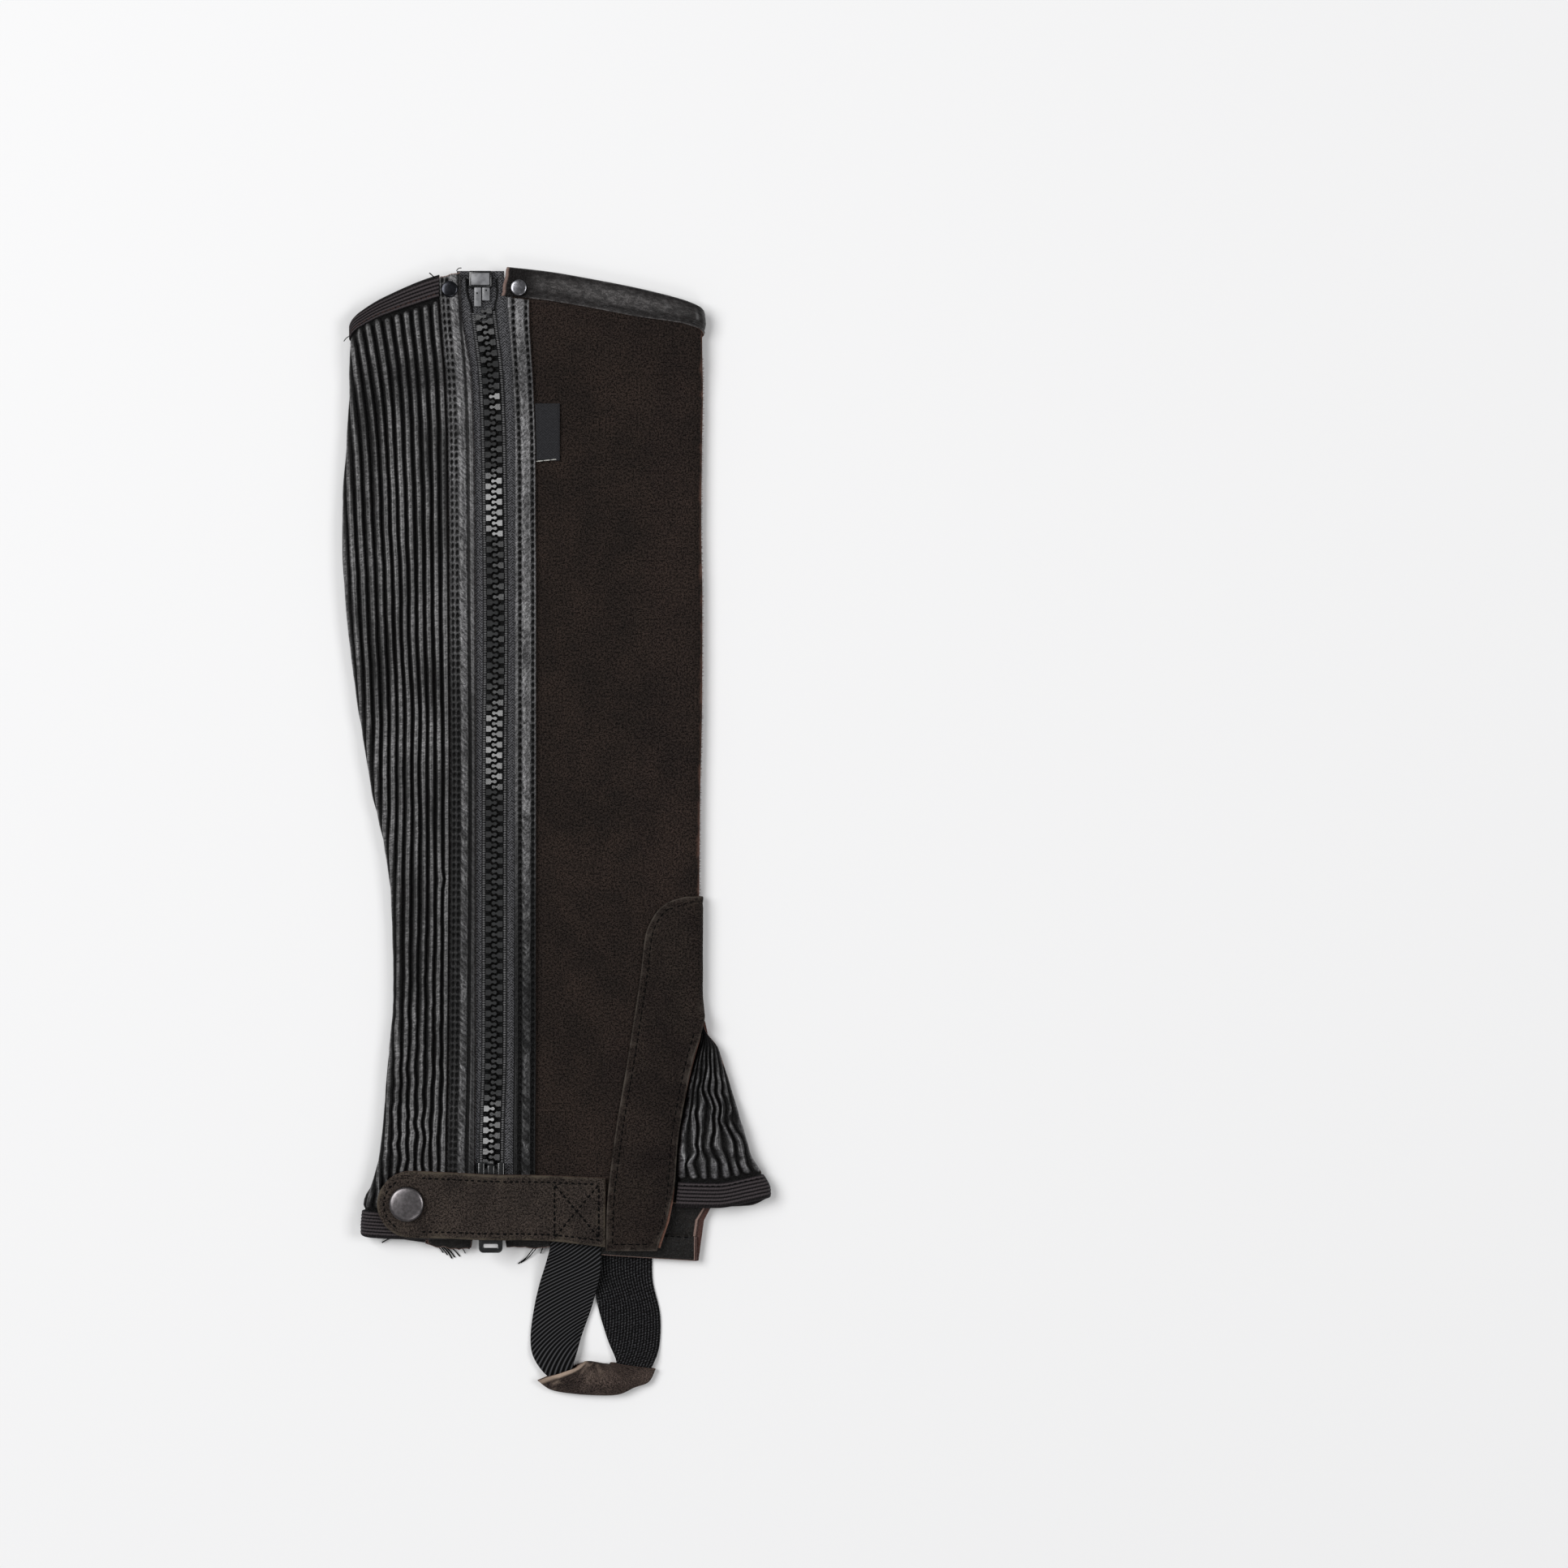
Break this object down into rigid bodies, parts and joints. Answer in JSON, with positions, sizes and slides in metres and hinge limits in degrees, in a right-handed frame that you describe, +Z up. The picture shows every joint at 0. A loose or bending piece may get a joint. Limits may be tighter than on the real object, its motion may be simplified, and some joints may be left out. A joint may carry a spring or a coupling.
{
  "type": "half chap",
  "caption": "Laid-flat suede half chap for the lower leg with a zip front, ribbed stretch leather at the calf and instep, an ankle strap with a press stud, and an elastic stirrup strap.",
  "frame": {"origin": "middle of the bounding box on the floor, under the flat-laid leg tube", "axes": "+Z up off the floor, +Y from the stirrup strap to the top binding, +X from the ribbed calf side to the instep gusset"},
  "size_m": [0.1845, 0.4869, 0.0173],
  "materials": {
    "body_suede": "dark brown suede with a mottled nap, no sheen",
    "overlay_suede": "dark grey-brown suede, paler along its worn cut edges",
    "ribbed_leather": "grained black stretch leather gathered into narrow ribs, low grey sheen",
    "smooth_leather": "smooth grained black leather with a soft sheen",
    "elastic_webbing": "purplish black woven elastic with fine lengthwise lines",
    "zip_tape": "black herringbone zip tape",
    "zip_plastic": "black moulded plastic with pale highlights",
    "dark_metal": "gunmetal stud, dark and softly shiny",
    "label_weave": "dark grey woven tape, bare"
  },
  "bodies": {
    "root": {"suede_panel": "body_suede", "rib_panel": "ribbed_leather", "front_overlay": "overlay_suede", "gusset": "ribbed_leather", "gusset_binding": "elastic_webbing", "rib_top_binding": "elastic_webbing", "rib_hem_binding": "elastic_webbing", "suede_top_binding": "smooth_leather", "facing_left": "smooth_leather", "facing_right": "smooth_leather", "zip_tape_left": "zip_tape", "zip_tape_right": "zip_tape", "zip_chain": "zip_plastic", "zip_retainer": "zip_plastic", "zip_slider": "zip_plastic", "zip_pull_tab": "zip_plastic", "rivet_left": "dark_metal", "rivet_right": "dark_metal", "snap_cap": "dark_metal", "label": "label_weave", "ankle_strap": "overlay_suede", "lower_hem_facing": "smooth_leather", "stirrup_elastic": "elastic_webbing", "stirrup_sleeve": "body_suede"}
  },
  "joints": []
}
